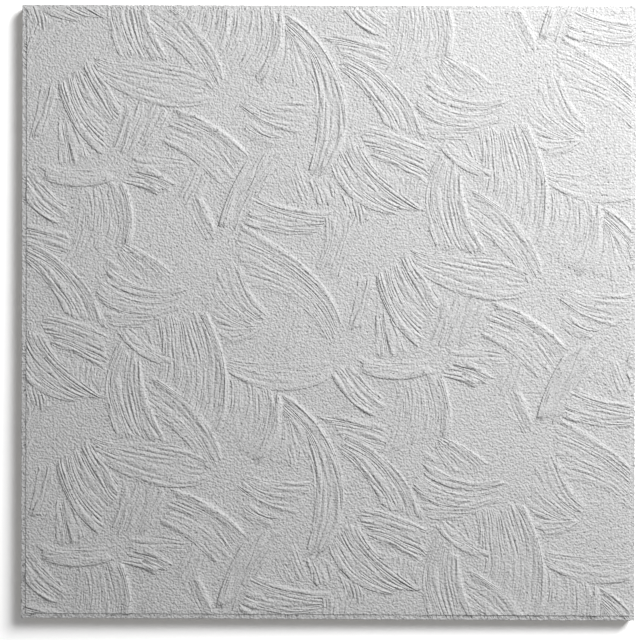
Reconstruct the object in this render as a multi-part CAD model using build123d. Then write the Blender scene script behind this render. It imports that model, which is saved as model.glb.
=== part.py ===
"""Square lay-in ceiling tile with a stepped edge, moulded and cut as one piece.

The tile is drawn lying on its back. The back face is on Z = 0 with its centre at the origin,
and the decorated face looks up, towards +Z. In use it is turned over: the narrow ledge that
runs round the face rests on the flanges of a suspended grid, and the face hangs below them.
All sizes are in millimetres.
"""

import os

from build123d import *

# The back of the tile, which lies inside one module of the grid.
BACK_SIDE = 603.0
THICKNESS = 15.9

# The step that is cut round the face: how wide the ledge is, and how far the face stands proud of it.
LEDGE_WIDTH = 5.0
REVEAL_DEPTH = 1.0

# Edges: the eased arris of the face, the corner left by the cutter, and the eased back edge.
FACE_ARRIS_RADIUS = 0.4
STEP_ROOT_RADIUS = 0.2
BACK_EDGE_CHAMFER = 0.6

LEDGE_HEIGHT = THICKNESS - REVEAL_DEPTH
FACE_SIDE = BACK_SIDE - 2 * LEDGE_WIDTH


def level_faces(solid):
    """The back, the ledge and the decorated face: the faces that lie level, from the bottom up."""
    back, ledge, face = solid.faces().filter_by(Axis.Z).sort_by(Axis.Z)
    return back, ledge, face


def make_tile():
    """The panel with its ledge, then the three kinds of edge."""
    with BuildPart() as tile:
        with BuildSketch():
            Rectangle(BACK_SIDE, BACK_SIDE)
        extrude(amount=LEDGE_HEIGHT)
        with BuildSketch(Plane.XY.offset(LEDGE_HEIGHT)):
            Rectangle(FACE_SIDE, FACE_SIDE)
        extrude(amount=REVEAL_DEPTH)

        back, ledge, face = level_faces(tile.part)
        fillet(face.edges(), FACE_ARRIS_RADIUS)

        back, ledge, face = level_faces(tile.part)
        fillet(ledge.inner_wires()[0].edges(), STEP_ROOT_RADIUS)

        back, ledge, face = level_faces(tile.part)
        chamfer(back.edges(), BACK_EDGE_CHAMFER)
    return tile.part


os.makedirs("parts", exist_ok=True)
export_step(make_tile(), "parts/ceiling_tile.step")
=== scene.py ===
import math
from typing import NamedTuple

import bpy
import numpy as np
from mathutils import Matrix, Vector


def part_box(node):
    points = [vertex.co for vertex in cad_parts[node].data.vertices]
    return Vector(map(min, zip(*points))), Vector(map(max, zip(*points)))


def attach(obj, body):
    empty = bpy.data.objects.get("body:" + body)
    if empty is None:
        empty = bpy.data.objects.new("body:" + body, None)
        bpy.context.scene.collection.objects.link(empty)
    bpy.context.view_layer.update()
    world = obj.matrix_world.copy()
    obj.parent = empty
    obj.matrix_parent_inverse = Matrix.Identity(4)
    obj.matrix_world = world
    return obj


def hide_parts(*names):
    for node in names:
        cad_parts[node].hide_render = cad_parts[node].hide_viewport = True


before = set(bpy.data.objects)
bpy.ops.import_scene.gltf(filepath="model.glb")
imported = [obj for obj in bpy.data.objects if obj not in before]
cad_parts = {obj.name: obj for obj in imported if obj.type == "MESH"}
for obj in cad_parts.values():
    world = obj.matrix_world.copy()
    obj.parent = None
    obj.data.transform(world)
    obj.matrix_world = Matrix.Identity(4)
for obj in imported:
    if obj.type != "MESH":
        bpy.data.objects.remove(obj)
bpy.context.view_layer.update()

# The tile.
# A square of felted mineral fibre, pressed and cut as one piece, with a ledge cut round its face.
# A roller embosses the wet face with a plasterer's brush strokes, and the face and ledge are painted white.
MM = 0.001
LEDGE_WIDTH = 5.0
REVEAL_DEPTH = 1.0
FACE_ARRIS_RADIUS = 0.4
STEP_ROOT_RADIUS = 0.2
BACK_EDGE_CHAMFER = 0.6
LEDGE_EDGE_RADIUS = 0.4

tile_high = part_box("ceiling_tile")[1]
BACK_HALF = tile_high[0] / MM
THICKNESS = tile_high[2] / MM
LEDGE_HEIGHT = THICKNESS - REVEAL_DEPTH
FACE_HALF = BACK_HALF - LEDGE_WIDTH

# The roller's pattern, in millimetres on the face. One repeat of it is listed, and copies
# stand one repeat up the tile, and one repeat across and half a repeat up. A stroke has an upper edge,
# the one nearer to the light, a lower edge, the heights of its two rims and the depth of its bristle marks.
REPEAT_UP = np.array((1.25, 373.05))
REPEAT_ACROSS = np.array((313.3, 184.9))


class Stroke(NamedTuple):
    """One pull of the brush, from where it was set down to where it was lifted."""

    upper: tuple
    lower: tuple
    rims: tuple
    bristle: float


STROKES = (
    Stroke(((58, 97), (30, 72), (14, 30)), ((24, 98), (10, 65), (-4, 38)), (0.0, 0.1), 0.7),
    Stroke(((112, -32), (140, -34), (172, -38)), ((116, -47), (145, -50), (174, -52)), (0.0, 0.1), 0.6),
    Stroke(((92, 187), (125, 182), (166, 188)), ((97, 172), (120, 169), (150, 174)), (0.0, 0.1), 0.7),
    Stroke(((157, 181), (155, 160), (158, 140)), ((131, 174), (137, 158), (146, 140)), (0.0, 0.1), 0.4),
    Stroke(((-22, 4), (-27, -25), (-42, -52)), ((-42, 8), (-48, -15), (-64, -42)), (0.1, 0.0), 0.3),
    Stroke(((46, 37), (40, 10), (29, -20)), ((29, 37), (25, 10), (16, -22)), (0.1, 0.0), 1.0),
    Stroke(((60, -3), (70, -22), (80, -42)), ((46, 6), (46, -20), (46, -47)), (0.0, 0.0), 0.9),
    Stroke(((160, 13), (149, -8), (132, -36)), ((112, 21), (109, 0), (97, -31)), (0.1, 0.1), 0.8),
    Stroke(((-84, 214), (-50, 207), (-14, 208)), ((-89, 203), (-61, 184), (-20, 174)), (0.1, 0.25), 0.8),
    Stroke(((-30, 150), (-24, 130), (-14, 106)), ((-52, 129), (-47, 117), (-39, 106)), (0.0, 0.0), 0.6),
    Stroke(((0, 140), (6, 120), (9, 99)), ((-22, 133), (-17, 120), (-10, 102)), (0.1, 0.1), 0.9),
    Stroke(((36, 107), (38, 98), (38, 84)), ((10, 119), (16, 105), (22, 87)), (0.1, 0.0), 0.9),
    Stroke(((-42, -96), (-27, -122), (-17, -152)), ((-47, -92), (-51, -118), (-64, -152)), (0.0, 0.2), 0.7),
    Stroke(((-48, -76), (-48, -110), (-68, -150)), ((-98, -61), (-96, -95), (-112, -125)), (0.9, 0.0), 0.7),
    Stroke(((-117, 3), (-95, -6), (-62, -9)), ((-107, -33), (-90, -31), (-66, -20)), (0.1, 0.1), 0.8),
    Stroke(((-101, -43), (-60, -49), (2, -45)), ((-100, -58), (-62, -75.5), (3, -66)), (0.0, 0.8), 0.5),
    Stroke(((-11, -101), (28, -104), (63, -114)), ((2, -119), (32, -129), (58, -141)), (0.0, 0.0), 1.0),
    Stroke(((96, 132), (93, 115), (90, 103)), ((46, 146), (52, 128), (60, 110)), (0.0, 0.0), 0.7),
    Stroke(((109, -57), (120, -95), (117, -124)), ((62, -65), (66, -98), (47, -142)), (0.65, 0.0), 0.65),
    Stroke(((12, -118), (57, -144), (97, -209)), ((10, -136), (32, -156), (53, -190)), (0.2, 0.4), 1.0),
    Stroke(((27, 182), (65, 175), (103, 158)), ((44, 150), (68, 142), (95, 123)), (0.2, 0.0), 0.95),
    Stroke(((26, 175), (46, 141), (97, 100)), ((0, 148), (18, 116), (63, 96)), (0.3, 0.4), 1.0),
    Stroke(
        ((-46, -77), (-8, -111), (12, -152), (15, -192), (-14, -243)),
        ((-44, -99), (-23, -130), (-15, -160), (-14, -198), (-25, -241)),
        (0.3, 0.1),
        0.95,
    ),
    Stroke(((18, -46), (38, -69), (63, -90)), ((0, -56), (14, -79), (44, -103)), (0.1, 0.65), 0.9),
    Stroke(((28, -40), (65, -48), (106, -43)), ((26, -56), (62, -66), (104, -58.5)), (0.0, 1.3), 0.6),
    Stroke(
        ((-121, 4), (-105, -36), (-98, -78), (-110, -120)),
        ((-168, -5), (-164, -40), (-170, -75), (-182, -100)),
        (0.55, 0.1),
        0.85,
    ),
    Stroke(
        ((-178, -61), (-138, -87), (-101, -147)),
        ((-178, -97), (-148, -120), (-117, -158)),
        (0.5, 0.3),
        0.7,
    ),
    Stroke(((129, 142), (134, 105), (155, 59)), ((108, 157), (94, 108), (110, 56)), (0.45, 0.0), 0.9),
    Stroke(((118, 172), (137, 154), (162, 139)), ((103, 169), (122, 147), (156, 131)), (0.0, 0.4), 0.7),
    Stroke(((84, -152), (122, -175), (177, -168)), ((80, -173), (122, -193), (168, -185)), (0.0, 0.35), 0.8),
    Stroke(
        ((80, 63), (112, 57), (160, 54), (195, 38)),
        ((72, 55), (108, 27), (150, 13), (195, 17)),
        (0.0, 0.35),
        0.7,
    ),
    Stroke(((79, 61), (93, 36), (113, 13)), ((45, 39), (58, 0), (88, -34.5)), (0.1, 0.75), 1.0),
    Stroke(((113, -122), (137, -133), (162, -152)), ((104, -128), (112, -146), (124, -160)), (0.4, 0.1), 0.6),
    Stroke(((93, -139), (125, -162), (177, -160)), ((84, -150), (120, -172), (177, -167)), (0.2, 0.0), 0.9),
    Stroke(((-116, 134), (-122, 118), (-134, 97)), ((-134, 150), (-139, 137), (-151, 110)), (0.0, 0.1), 0.7),
    Stroke(
        ((-160, 178), (-124, 164), (-92, 131)),
        ((-166, 166), (-140, 153), (-110, 125)),
        (0.15, 0.45),
        0.6,
    ),
    Stroke(
        ((-152, 199.5), (-113, 183.5), (-78, 154)),
        ((-162, 182), (-126, 167), (-93, 132)),
        (0.6, 0.1),
        0.7,
    ),
    Stroke(((119, -46), (141, -50), (164, -64)), ((107, -61), (128, -67), (150, -78)), (0.1, 0.2), 1.1),
    Stroke(((-131, 121), (-119, 102), (-109, 74)), ((-141, 109), (-132, 90), (-120, 68)), (0.4, 0.0), 0.7),
    Stroke(((-40, 166), (-60, 130), (-84, 82)), ((-78, 152), (-96, 121), (-109.5, 79)), (0.0, 1.3), 0.9),
    Stroke(((22, 100), (20, 75), (6, 40)), ((-5, 95), (-4, 70), (-14, 45)), (0.0, 0.0), 0.7),
    Stroke(
        ((-90, 88), (-45, 62), (-8, 30), (14, -14)),
        ((-88, 22), (-40, 14), (-16, -5), (2, -34)),
        (0.35, 0.0),
        0.65,
    ),
    Stroke(((-72, 116), (-35, 103), (13, 99)), ((-87, 90), (-58, 79), (-10, 78)), (0.1, 0.1), 0.9),
    Stroke(((-89, 60), (-80, 27), (-54, -6)), ((-128, 15), (-112, -5), (-80, -16)), (0.4, 0.0), 0.6),
    Stroke(((-82, 105), (-71, 99), (-57, 96)), ((-85, 98), (-74, 92.5), (-60, 90)), (0.0, 0.8), 0.4),
    Stroke(((-85, 94.5), (-75, 88.5), (-60, 85)), ((-88, 90), (-78, 84), (-62, 80)), (0.0, 0.9), 0.4),
    Stroke(((124, -42), (138, -47), (154, -55)), ((120, -48), (135, -53), (151, -61)), (0.0, 0.6), 0.8),
    Stroke(((130, -58), (140, -62), (151, -68)), ((127, -63), (137, -68), (149, -75)), (0.0, 1.0), 0.8),
    Stroke(((95, -133), (103, -140), (114, -147)), ((91, -138), (99, -145), (110, -153)), (0.0, 0.8), 0.6),
    Stroke(((-78, 189), (-66, 181), (-46, 173)), ((-88, 180), (-76, 168), (-58, 160)), (0.0, 0.0), 0.8),
)

# How a stroke is shaped, in millimetres: the soft rise of its edge towards the light, the sharper drop of its
# edge away from it, the ragged ends, and the ridges that its bristles leave. Shares and gains have no unit.
SAMPLE_STEP = 0.4
MEASURE_POINTS = 24
UPPER_FADE = 5.5
LOWER_FADE = 1.6
END_FADE = 8.0
END_RAGGED = 4.0
RIM_SPREAD = 10.0
RIM_TAPER = 10.0
UPPER_GAIN = 2.1
EDGE_PRESS = 0.85
EDGE_PRESS_CHANGE = 0.35
GROOVE_PITCH = 5.0
GROOVE_DEPTH = 0.25
GROOVE_ROUND = 0.05
GROOVE_SHARPNESS = 0.35
GROOVE_LEVEL = 0.8
BROAD_SHARE = 0.35
BRISTLE_RUN = 50.0
BRISTLE_WOBBLE = 1.2
BUNDLE_WIDTH = 12.0
STROKE_OFFSET = 311.0
SMALLEST_TURN = 1.0


def curve_through(points, shares):
    """The places at the given shares of the way along a smooth curve through the points."""
    points = np.array(points, float)
    steps = np.hypot(*np.diff(points, axis=0).T)
    marks = np.concatenate(([0.0], np.cumsum(steps))) / steps.sum()
    degree = len(points) - 1
    return np.stack([np.polyval(np.polyfit(marks, column, degree), shares) for column in points.T], -1)


def ease(distance, reach):
    """A rounded rise from 0 to 1 over the reach."""
    share = np.clip(distance / reach, 0.0, 1.0)
    return share * share * (3.0 - 2.0 * share)


def streaks(rng, along, across, runs, hairs):
    """Noise drawn out along a stroke: each bristle has its own depth, which changes slowly on the way."""
    table = rng.normal(size=(hairs + 2, runs + 3))
    slip = rng.uniform(0.0, 1.0, hairs + 2)
    place = across * hairs
    hair = place.astype(int)
    beside = ease(place - hair, 1.0)
    value = 0.0
    for side, weight in ((0, 1.0 - beside), (1, beside)):
        way = along * runs + slip[hair + side]
        mark = way.astype(int)
        change = ease(way - mark, 1.0)
        here = table[hair + side, mark]
        after = table[hair + side, mark + 1]
        value = value + weight * (here * (1.0 - change) + after * change)
    return value


# What the brushing holds for each cell of the face: how far across and along the bristles it lies, which way
# each of the two grows, how deep the bristles bit, and the place on the face where this was taken.
ACROSS = 0
ALONG = 1
ACROSS_WAY = slice(2, 4)
ALONG_WAY = slice(4, 6)
BITE = 6
TAKEN_AT = slice(7, 9)
BRUSH_VALUES = 9


class Patch(NamedTuple):
    """One stroke sampled finer than the face's grid."""

    places: np.ndarray
    height: np.ndarray
    cover: np.ndarray
    brush: np.ndarray


def stroke_patch(stroke, number):
    """Samples a stroke: its places, heights, cover, and the way across and along its bristles."""
    rng = np.random.default_rng(number)
    ends = np.linspace(0.0, 1.0, MEASURE_POINTS)
    upper = curve_through(stroke.upper, ends)
    lower = curve_through(stroke.lower, ends)
    length = np.hypot(*np.diff((upper + lower) / 2, axis=0).T).sum()
    reach = max(np.hypot(*np.diff(edge, axis=0).T).sum() for edge in (upper, lower))
    widths = np.hypot(*(upper - lower).T)
    width = widths.mean()
    shares = np.linspace(0.0, 1.0, int(reach / SAMPLE_STEP) + 2)
    parts = np.linspace(0.0, 1.0, int(widths.max() / SAMPLE_STEP) + 2)
    upper = curve_through(stroke.upper, shares)[:, None]
    lower = curve_through(stroke.lower, shares)[:, None]
    gap = np.hypot(*(lower - upper)[:, 0].T)[:, None]
    upper = upper + (upper - lower) * (UPPER_FADE / 2 / gap)[..., None]
    gap = gap + UPPER_FADE / 2
    along, across = np.meshgrid(shares, parts, indexing="ij")
    places = upper + (lower - upper) * across[..., None]

    hairs = int(width / GROOVE_PITCH) + 2
    bundles = int(width / BUNDLE_WIDTH) + 2
    runs = int(length / BRISTLE_RUN) + 2
    comb = across * width + BRISTLE_WOBBLE * streaks(rng, along, across, runs, bundles)
    grooves = (streaks(rng, along, across, runs, hairs) ** 2 + GROOVE_ROUND) ** GROOVE_SHARPNESS
    broad = streaks(rng, along, across, runs, 2 * bundles)
    ragged = END_RAGGED * streaks(rng, along * 0.0, across, 1, hairs)
    ragged_end = END_RAGGED * streaks(rng, along * 0.0, across, 1, hairs)
    edge_press = EDGE_PRESS + EDGE_PRESS_CHANGE * streaks(rng, along, across * 0.0, runs, 1)
    edge_press = np.clip(edge_press, 0.0, None)

    from_upper = across * gap
    from_lower = (1.0 - across) * gap
    cover = ease(from_upper, UPPER_FADE) * ease(from_lower, LOWER_FADE)
    cover *= ease(along * length + ragged, END_FADE) * ease((1.0 - along) * length + ragged_end, END_FADE)
    upper_rim, lower_rim = stroke.rims
    taper = ease(along * length, RIM_TAPER) * ease((1.0 - along) * length, RIM_TAPER)
    height = taper * UPPER_GAIN * upper_rim * np.exp(-((from_upper / RIM_SPREAD) ** 2))
    height += taper * lower_rim * edge_press * np.exp(-((from_lower / RIM_SPREAD) ** 2))
    height += stroke.bristle * GROOVE_DEPTH * (grooves - GROOVE_LEVEL + BROAD_SHARE * broad)

    step_along = np.gradient(places, shares, axis=0)
    step_across = np.gradient(places, parts, axis=1)
    turn = step_along[..., 0] * step_across[..., 1] - step_along[..., 1] * step_across[..., 0]
    turn = np.where(np.abs(turn) < SMALLEST_TURN, SMALLEST_TURN, turn)
    way_along = np.stack([step_across[..., 1], -step_across[..., 0]], -1) / turn[..., None]
    way_across = np.stack([-step_along[..., 1], step_along[..., 0]], -1) / turn[..., None]
    comb_along, comb_across = np.gradient(comb, shares, parts)
    comb_way = comb_along[..., None] * way_along + comb_across[..., None] * way_across
    brush = np.concatenate(
        [
            (comb + number * STROKE_OFFSET)[..., None],
            (along * length + number * STROKE_OFFSET)[..., None],
            comb_way,
            way_along * length,
            np.full_like(along, stroke.bristle)[..., None],
            places,
        ],
        -1,
    )
    return Patch(places.reshape(-1, 2), height.ravel(), cover.ravel(), brush.reshape(-1, brush.shape[-1]))


# The face is a grid of square cells inside its arris. A stroke counts as brushed where it covers more than
# half, and copies of the repeat are laid this far to every side.
FACE_CELLS = 800
RELIEF_HALF = FACE_HALF - FACE_ARRIS_RADIUS
CELL = 2 * RELIEF_HALF / FACE_CELLS
COVERED = 0.5
COPIES = range(-2, 3)


def lay_patch(relief, brushing, patch, offset):
    """Presses one copy of a stroke into the relief, where it lies on the face."""
    spot = (patch.places + offset + RELIEF_HALF) / CELL
    inside = ((spot >= 0) & (spot < FACE_CELLS)).all(1)
    if not inside.any():
        return
    spot = spot[inside]
    cell = spot.astype(int)
    share = spot - cell
    first = cell.min(0)
    window = cell.max(0) - first + 2
    sums = np.zeros((3, window[0] * window[1]))
    for right in (0, 1):
        for up in (0, 1):
            index = (cell[:, 1] + up - first[1]) * window[0] + cell[:, 0] + right - first[0]
            weight = np.abs(1 - right - share[:, 0]) * np.abs(1 - up - share[:, 1])
            for total, value in zip(sums, (1.0, patch.height[inside], patch.cover[inside])):
                total += np.bincount(index, weight * value, len(total))
    weight, height, cover = sums.reshape(3, *window[::-1])
    weight = np.where(weight > 0.0, weight, 1.0)
    part = relief[first[1] : first[1] + window[1], first[0] : first[0] + window[0]]
    part += (height / weight - part) * cover / weight
    top = inside.nonzero()[0][patch.cover[inside] > COVERED]
    spot = np.rint((patch.places[top] + offset + RELIEF_HALF) / CELL).astype(int)
    brushing[spot[:, 1], spot[:, 0]] = patch.brush[top]
    brushing[spot[:, 1], spot[:, 0], TAKEN_AT] += offset


def embossed_face():
    """The relief over the face, in rows from the front of the tile to its back, and how it was brushed."""
    relief = np.zeros((FACE_CELLS + 1, FACE_CELLS + 1))
    brushing = np.zeros((FACE_CELLS + 1, FACE_CELLS + 1, BRUSH_VALUES))
    for number, stroke in enumerate(STROKES):
        patch = stroke_patch(stroke, number)
        for up in COPIES:
            for over in COPIES:
                lay_patch(relief, brushing, patch, up * REPEAT_UP + over * REPEAT_ACROSS)
    return relief, brushing


relief, brushing = embossed_face()

# The board's outline from the relief's border outwards, down the step, across the ledge, down the side and
# under: how far out each ring of points stands, its height, how far it follows the relief, and how deep the
# cutter has torn it.
ARRIS_TURNS = np.radians((30.0, 60.0, 90.0))
FACE_CHIPS = 0.25
LEDGE_CHIPS = 0.4
ROOT_MIDDLE = 0.3 * STEP_ROOT_RADIUS
SIDE_OUT = FACE_ARRIS_RADIUS + LEDGE_WIDTH
rings = [
    (
        FACE_ARRIS_RADIUS * math.sin(turn),
        THICKNESS - FACE_ARRIS_RADIUS * (1 - math.cos(turn)),
        1.0,
        FACE_CHIPS,
    )
    for turn in ARRIS_TURNS
]
rings += [
    (FACE_ARRIS_RADIUS, LEDGE_HEIGHT + STEP_ROOT_RADIUS, 0.0, FACE_CHIPS),
    (FACE_ARRIS_RADIUS + ROOT_MIDDLE, LEDGE_HEIGHT + ROOT_MIDDLE, 0.0, FACE_CHIPS),
    (FACE_ARRIS_RADIUS + STEP_ROOT_RADIUS, LEDGE_HEIGHT, 0.0, FACE_CHIPS),
    (SIDE_OUT - LEDGE_EDGE_RADIUS, LEDGE_HEIGHT, 0.0, LEDGE_CHIPS),
    (SIDE_OUT, LEDGE_HEIGHT - LEDGE_EDGE_RADIUS, 0.0, LEDGE_CHIPS),
    (SIDE_OUT, BACK_EDGE_CHAMFER, 0.0, 0.0),
    (SIDE_OUT - BACK_EDGE_CHAMFER, 0.0, 0.0, 0.0),
]

# The plain ground lies a little below the top of the solid tile, and the crests of the strokes above it.
GROUND_DEPTH = 0.35
TRIANGLES = 190000


def board_mesh(relief):
    """The closed surface of the tile: its face on a grid, the rings round it and a flat back."""
    line = np.linspace(-RELIEF_HALF, RELIEF_HALF, FACE_CELLS + 1)
    across, up = np.meshgrid(line, line)
    points = [np.stack([across, up, THICKNESS - GROUND_DEPTH + relief], -1).reshape(-1, 3)]
    numbers = np.arange((FACE_CELLS + 1) ** 2).reshape(FACE_CELLS + 1, FACE_CELLS + 1)
    faces = [
        np.stack([numbers[:-1, :-1], numbers[:-1, 1:], numbers[1:, 1:], numbers[1:, :-1]], -1).reshape(-1, 4)
    ]
    border = np.concatenate([numbers[0, :-1], numbers[:-1, -1], numbers[-1, :0:-1], numbers[:0:-1, 0]])
    border_points = points[0][border]
    chips = np.abs(np.random.default_rng(0).normal(size=len(border)))
    chips = (chips + np.roll(chips, 1)) / 2
    last = border
    count = len(points[0])
    for out, height, follow, torn in rings:
        ring = border_points * ((RELIEF_HALF + out - torn * chips[:, None]) / RELIEF_HALF)
        ring[:, 2] = height + follow * np.maximum(border_points[:, 2] - THICKNESS, -GROUND_DEPTH)
        points.append(ring)
        new = np.arange(count, count + len(border))
        faces.append(np.stack([last, new, np.roll(new, -1), np.roll(last, -1)], -1))
        last = new
        count += len(border)
    points = np.concatenate(points) * MM
    faces = np.concatenate(faces)

    mesh = bpy.data.meshes.new("tile")
    mesh.from_pydata(points.tolist(), [], faces.tolist() + [last[::-1].tolist()])
    return mesh


def lightened(mesh):
    """The mesh with its flat stretches joined into fewer triangles."""
    mesh.calc_loop_triangles()
    piece = bpy.data.objects.new("tile_in_full", mesh)
    bpy.context.scene.collection.objects.link(piece)
    fewer = piece.modifiers.new("fewer", "DECIMATE")
    fewer.use_collapse_triangulate = True
    fewer.ratio = TRIANGLES / len(mesh.loop_triangles)
    graph = bpy.context.evaluated_depsgraph_get()
    result = bpy.data.meshes.new_from_object(piece.evaluated_get(graph))
    bpy.data.objects.remove(piece)
    bpy.data.meshes.remove(mesh)
    return result


CREASE_ANGLE = math.radians(20.0)


def crease(mesh):
    """Keeps the corners of the step, the ledge and the back hard, and the relief soft."""
    mesh.set_sharp_from_angle(angle=CREASE_ANGLE)
    sharp = np.empty(len(mesh.edges), bool)
    mesh.edges.foreach_get("use_edge_sharp", sharp)
    points = np.empty(len(mesh.vertices) * 3)
    mesh.vertices.foreach_get("co", points)
    reach = np.abs(points.reshape(-1, 3)[:, :2]).max(1) / MM
    ends = np.empty(len(mesh.edges) * 2, int)
    mesh.edges.foreach_get("vertices", ends)
    at_border = (reach[ends].reshape(-1, 2) > RELIEF_HALF - CELL).all(1)
    mesh.edges.foreach_set("use_edge_sharp", sharp & at_border)


# Two corners of a triangle lie in the same stroke when their places in the brushing differ by less than this.
SAME_STROKE = 3.0


def brush_places(brushing, spots, points):
    """The way across and along the bristles at the points, by the brushing marked at the spots."""
    spot = np.clip(np.rint((spots + RELIEF_HALF) / CELL), 0, FACE_CELLS).astype(int)
    here = brushing[spot[..., 1], spot[..., 0]]
    reach = points - here[..., TAKEN_AT]
    across = here[..., ACROSS] + (reach * here[..., ACROSS_WAY]).sum(-1)
    along = here[..., ALONG] + (reach * here[..., ALONG_WAY]).sum(-1)
    return np.stack([across, along], -1)


def mark_brushing(mesh, brushing):
    """Gives each triangle of the face its way across and along the bristles, as a map named brush."""
    points = np.empty(len(mesh.vertices) * 3)
    mesh.vertices.foreach_get("co", points)
    points = points.reshape(-1, 3) / MM
    corners = np.empty(len(mesh.loops), int)
    mesh.loops.foreach_get("vertex_index", corners)
    corners = points[corners].reshape(-1, 3, 3)[..., :2]
    middles = np.repeat(corners.mean(1)[:, None], 3, 1)
    from_middle = brush_places(brushing, middles, corners)
    from_corner = brush_places(brushing, corners, corners)
    same_stroke = np.hypot(*np.moveaxis(from_corner - from_middle, -1, 0)) < SAME_STROKE
    places = np.where(same_stroke[..., None], from_corner, from_middle)
    brush = mesh.uv_layers.new(name="brush")
    brush.uv.foreach_set("vector", places.ravel().astype(np.float32))

    spot = np.clip(np.rint((points[:, :2] + RELIEF_HALF) / CELL), 0, FACE_CELLS).astype(int)
    on_face = (np.abs(points[:, :2]) < RELIEF_HALF + CELL / 2).all(1)
    depth = np.where(on_face, brushing[spot[:, 1], spot[:, 0], BITE], 0.0)
    bristle = mesh.attributes.new("bristle", "FLOAT", "POINT")
    bristle.data.foreach_set("value", depth.astype(np.float32))


# The paint and the bare fibre: sizes, runs and depths in millimetres, and tones as shares of full white.
GRAIN_SIZE = 2.0
GRAIN_DETAIL = 0.6
GRAIN_DEPTH = 1.12
STROKE_GRAIN = 0.75
LINE_PITCH = 3.9
LINE_RUN = 60.0
LINE_DEPTH = 1.6
LINE_MIDDLE = 0.5
LINE_SHARPNESS = 0.6
HAIR_PITCH = 2.3
HAIR_RUN = 16.0
HAIR_DEPTH = 0.95
SPECK_SIZE = 1.5
SPECK_RANGE = (0.2, 0.8)
SPECK_TONE = 0.1
PAINT_GREY = 0.8
# Painted shade in the pinholes: how far apart they lie, where they show, and how much darker they are
# painted.
PIT_SPACING = 2.2
PIT_RANGE = (0.7, 0.78)
PIT_SHADE_TONE = 0.4
ROUGHNESS_RANGE = (0.3, 0.7)
ROUGHNESS = (0.84, 0.96)
PAINT_OVERLAP = 1.2
FIBRE_TOP = LEDGE_HEIGHT - PAINT_OVERLAP
FIBRE_RAGGED = 0.8
FIBRE_FADE = 0.16
FIBRE_SIZE = 3.0
FIBRE_DETAIL = 3.0
FIBRE_RANGE = (0.3, 0.7)
FIBRE_DARK = (0.43, 0.39, 0.33, 1.0)
FIBRE_PALE = (0.66, 0.62, 0.55, 1.0)


class Sheet:
    """A material's nodes, with short ways to add and join them."""

    def __init__(self, material):
        material.use_nodes = True
        self.nodes = material.node_tree.nodes
        self.links = material.node_tree.links

    def add(self, kind, inputs, **settings):
        """A node with its settings, and its inputs joined to other sockets or set to plain values."""
        node = self.nodes.new(kind)
        for name, value in settings.items():
            setattr(node, name, value)
        for name, value in inputs.items():
            if isinstance(value, bpy.types.NodeSocket):
                self.links.new(value, node.inputs[name])
            else:
                node.inputs[name].default_value = value
        return node

    def math(self, operation, *values):
        """A sum on one, two or three values."""
        node = self.add("ShaderNodeMath", dict(enumerate(values)), operation=operation)
        return node.outputs["Value"]

    def noise(self, vector, scale, detail, dimensions="3D"):
        """Noise of the given scale."""
        inputs = {"Vector": vector, "Scale": scale, "Detail": detail}
        return self.add("ShaderNodeTexNoise", inputs, noise_dimensions=dimensions).outputs["Fac"]

    def spread(self, value, low, high, to_low, to_high):
        """The value with one range stretched to another, and held at its ends."""
        inputs = {"Value": value, "From Min": low, "From Max": high, "To Min": to_low, "To Max": to_high}
        return self.add("ShaderNodeMapRange", inputs).outputs["Result"]

    def blend(self, share, first, second):
        """The first colour passing into the second."""
        return self.add("ShaderNodeMix", {0: share, 6: first, 7: second}, data_type="RGBA").outputs[2]

    def mixed(self, share, first, second):
        """The first shader passing into the second."""
        return self.add("ShaderNodeMixShader", {0: share, 1: first, 2: second}).outputs["Shader"]

    def seen_straight(self):
        """1 where the camera looks straight at a thing, or by way of a mirror or glass, and 0 elsewhere."""
        path = self.add("ShaderNodeLightPath", {}).outputs
        mirrored = self.math("MAXIMUM", path["Is Camera Ray"], path["Is Glossy Ray"])
        return self.math("MAXIMUM", mirrored, path["Is Transmission Ray"])

    def drawn(self, vector, pitch, run):
        """Noise drawn out along the brush's way, one line to a pitch or so."""
        scale = (1.0 / pitch, 1.0 / run, 0.0)
        scaled = self.add("ShaderNodeVectorMath", {0: vector, 1: scale}, operation="MULTIPLY")
        return self.noise(scaled.outputs["Vector"], 1.0, 0.0, "2D")


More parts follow.
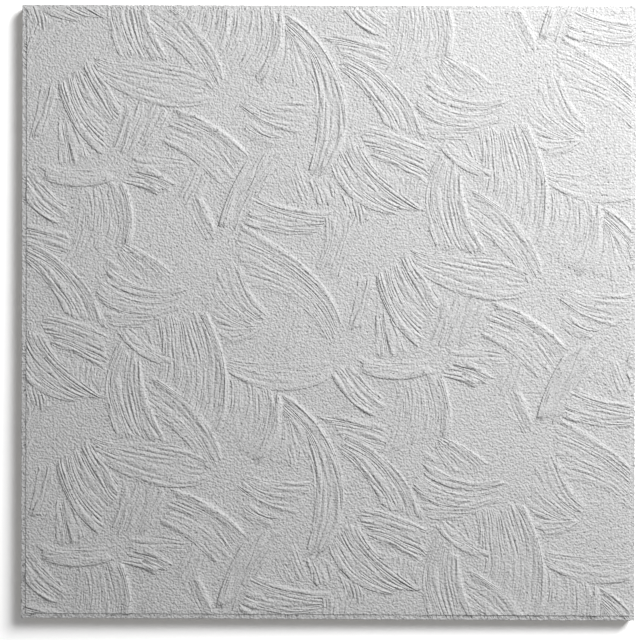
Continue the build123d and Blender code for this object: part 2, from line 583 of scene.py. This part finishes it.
def white_paint():
    """Flat white paint over the fibres: a sandy grain, the finest bristle marks in the strokes, and painted
    shade in its pinholes.

    The paint stops a little below the ledge. The sides and the back are bare fibre.
    """
    material = bpy.data.materials.new("white_paint")
    sheet = Sheet(material)
    shader = sheet.nodes["Principled BSDF"]

    place = sheet.add("ShaderNodeTexCoord", {}).outputs["Object"]
    brush = sheet.add("ShaderNodeUVMap", {}, uv_map="brush").outputs["UV"]
    bristle = sheet.add("ShaderNodeAttribute", {}, attribute_name="bristle").outputs["Fac"]

    grain = sheet.noise(place, 1.0 / (GRAIN_SIZE * MM), GRAIN_DETAIL)
    calm = sheet.math("MULTIPLY_ADD", bristle, STROKE_GRAIN - 1.0, 1.0)
    grain = sheet.math("MULTIPLY", sheet.math("MULTIPLY", grain, GRAIN_DEPTH * MM), calm)

    lines = sheet.math("SUBTRACT", sheet.drawn(brush, LINE_PITCH, LINE_RUN), LINE_MIDDLE)
    lines = sheet.math("POWER", sheet.math("ABSOLUTE", lines), LINE_SHARPNESS)
    hairs = sheet.drawn(brush, HAIR_PITCH, HAIR_RUN)
    marks = sheet.math("MULTIPLY", lines, LINE_DEPTH * MM)
    marks = sheet.math("ADD", marks, sheet.math("MULTIPLY", hairs, HAIR_DEPTH * MM))
    marks = sheet.math("MULTIPLY", marks, bristle)

    speck = sheet.noise(place, 1.0 / (SPECK_SIZE * MM), 0.0)
    tone = sheet.spread(speck, *SPECK_RANGE, PAINT_GREY - SPECK_TONE, PAINT_GREY + SPECK_TONE)
    # Painted shade: the pinholes are darkened in the colour to stand in for the shade inside them, and the
    # bump gives them no depth.
    pit_shade = sheet.spread(sheet.noise(place, 1.0 / (PIT_SPACING * MM), 0.0), *PIT_RANGE, 0.0, PIT_SHADE_TONE)
    tone = sheet.math("SUBTRACT", tone, pit_shade)
    roughness = sheet.spread(speck, *ROUGHNESS_RANGE, *ROUGHNESS)
    sheet.links.new(roughness, shader.inputs["Roughness"])

    felt = sheet.noise(place, 1.0 / (FIBRE_SIZE * MM), FIBRE_DETAIL)
    fibre = sheet.blend(sheet.spread(felt, *FIBRE_RANGE, 0.0, 1.0), FIBRE_DARK, FIBRE_PALE)
    height = sheet.add("ShaderNodeSeparateXYZ", {"Vector": place}).outputs["Z"]
    height = sheet.math("MULTIPLY_ADD", felt, 2 * FIBRE_RAGGED * MM, height)
    bare_to = FIBRE_TOP + FIBRE_RAGGED
    bare = sheet.spread(height, bare_to * MM, (bare_to + FIBRE_FADE) * MM, 1.0, 0.0)
    sheet.links.new(sheet.blend(bare, tone, fibre), shader.inputs["Base Color"])

    bump = sheet.add("ShaderNodeBump", {"Distance": 1.0, "Height": sheet.math("ADD", grain, marks)})
    sheet.links.new(bump.outputs["Normal"], shader.inputs["Normal"])
    return material


tile_mesh = lightened(board_mesh(relief))
tile_mesh.name = "tile"
tile_mesh.shade_smooth()
crease(tile_mesh)
mark_brushing(tile_mesh, brushing)
tile = bpy.data.objects.new("tile", tile_mesh)
bpy.context.scene.collection.objects.link(tile)
tile.data.materials.append(white_paint())
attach(tile, "root")
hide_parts("ceiling_tile")

# The floor.
# A plain white studio floor that the tile lies on. The camera sees it bright enough to be white,
# the tile's shadow still shows on it, and it passes into a white backdrop further off.
FLOOR_HALF = 6.0
FLOOR_GREY = 0.8
FLOOR_SEEN = 2.45
FLOOR_NEAR = 0.7
FLOOR_FAR = 1.0


def studio_white():
    """White floor paint: plain for the light that it sends on, brighter for the camera, white far off."""
    material = bpy.data.materials.new("studio_white")
    sheet = Sheet(material)
    sheet.nodes.remove(sheet.nodes["Principled BSDF"])
    plain = sheet.add("ShaderNodeBsdfDiffuse", {"Color": (FLOOR_GREY, FLOOR_GREY, FLOOR_GREY, 1.0)})
    near = sheet.add("ShaderNodeBsdfDiffuse", {"Color": (FLOOR_SEEN, FLOOR_SEEN, FLOOR_SEEN, 1.0)})
    far = sheet.add("ShaderNodeEmission", {"Color": (1.0, 1.0, 1.0, 1.0), "Strength": 1.0})
    place = sheet.add("ShaderNodeTexCoord", {}).outputs["Object"]
    distance = sheet.add("ShaderNodeVectorMath", {0: place}, operation="LENGTH").outputs["Value"]
    way = sheet.spread(distance, FLOOR_NEAR, FLOOR_FAR, 0.0, 1.0)
    seen = sheet.mixed(way, near.outputs["BSDF"], far.outputs["Emission"])
    floor_look = sheet.mixed(sheet.seen_straight(), plain.outputs["BSDF"], seen)
    sheet.links.new(floor_look, sheet.nodes["Material Output"].inputs["Surface"])
    return material


floor_mesh = bpy.data.meshes.new("floor")
floor_corners = [(x * FLOOR_HALF, y * FLOOR_HALF, 0.0) for x, y in ((-1, -1), (1, -1), (1, 1), (-1, 1))]
floor_mesh.from_pydata(floor_corners, [], [(0, 1, 2, 3)])
floor = bpy.data.objects.new("floor", floor_mesh)
bpy.context.scene.collection.objects.link(floor)
floor.data.materials.append(studio_white())

# The studio light.
# One large soft lamp stands off to the upper right and shines a little past the tile.
# A faint white room fills the shadows, and the camera sees that room as plain white.
LAMP_TURN = math.radians(45.0)
LAMP_RISE = math.radians(39.0)
LAMP_LIFT = math.radians(14.0)
LAMP_DISTANCE = 1.5
LAMP_SIDE = 1.0
LAMP_WATTS = 25.5
ROOM_LIGHT = 0.12

lamp_data = bpy.data.lights.new("soft_lamp", "AREA")
lamp_data.shape = "SQUARE"
lamp_data.size = LAMP_SIDE
lamp_data.energy = LAMP_WATTS
lamp = bpy.data.objects.new("soft_lamp", lamp_data)
lamp.location = (
    LAMP_DISTANCE * math.cos(LAMP_RISE) * math.cos(LAMP_TURN),
    LAMP_DISTANCE * math.cos(LAMP_RISE) * math.sin(LAMP_TURN),
    LAMP_DISTANCE * math.sin(LAMP_RISE),
)
lamp.rotation_euler = (0.0, math.pi / 2 - LAMP_RISE + LAMP_LIFT, LAMP_TURN)
bpy.context.scene.collection.objects.link(lamp)

room = bpy.data.worlds.new("room")
room_sheet = Sheet(room)
room_lit = room_sheet.nodes["Background"]
room_lit.inputs["Color"].default_value = (1.0, 1.0, 1.0, 1.0)
room_lit.inputs["Strength"].default_value = ROOM_LIGHT
room_seen = room_sheet.add("ShaderNodeBackground", {"Color": (1.0, 1.0, 1.0, 1.0), "Strength": 1.0})
room_look = room_sheet.mixed(
    room_sheet.seen_straight(), room_lit.outputs["Background"], room_seen.outputs["Background"]
)
room_sheet.links.new(room_look, room_sheet.nodes["World Output"].inputs["Surface"])
bpy.context.scene.world = room

# The camera.
# It stands straight above the tile's middle and looks down on it,
# a little turned and tilted, as in the photograph. The tilt is in degrees.
CAMERA_HEIGHT = 1.4
CAMERA_LENS = 79.43
CAMERA_TILT = (-0.300, 0.331, 0.196)

camera_data = bpy.data.cameras.new("camera")
camera_data.lens = CAMERA_LENS
camera = bpy.data.objects.new("camera", camera_data)
camera.location = (0.0, 0.0, CAMERA_HEIGHT)
camera.rotation_euler = [math.radians(angle) for angle in CAMERA_TILT]
bpy.context.scene.collection.objects.link(camera)
bpy.context.scene.camera = camera
bpy.context.scene.view_settings.view_transform = "Standard"
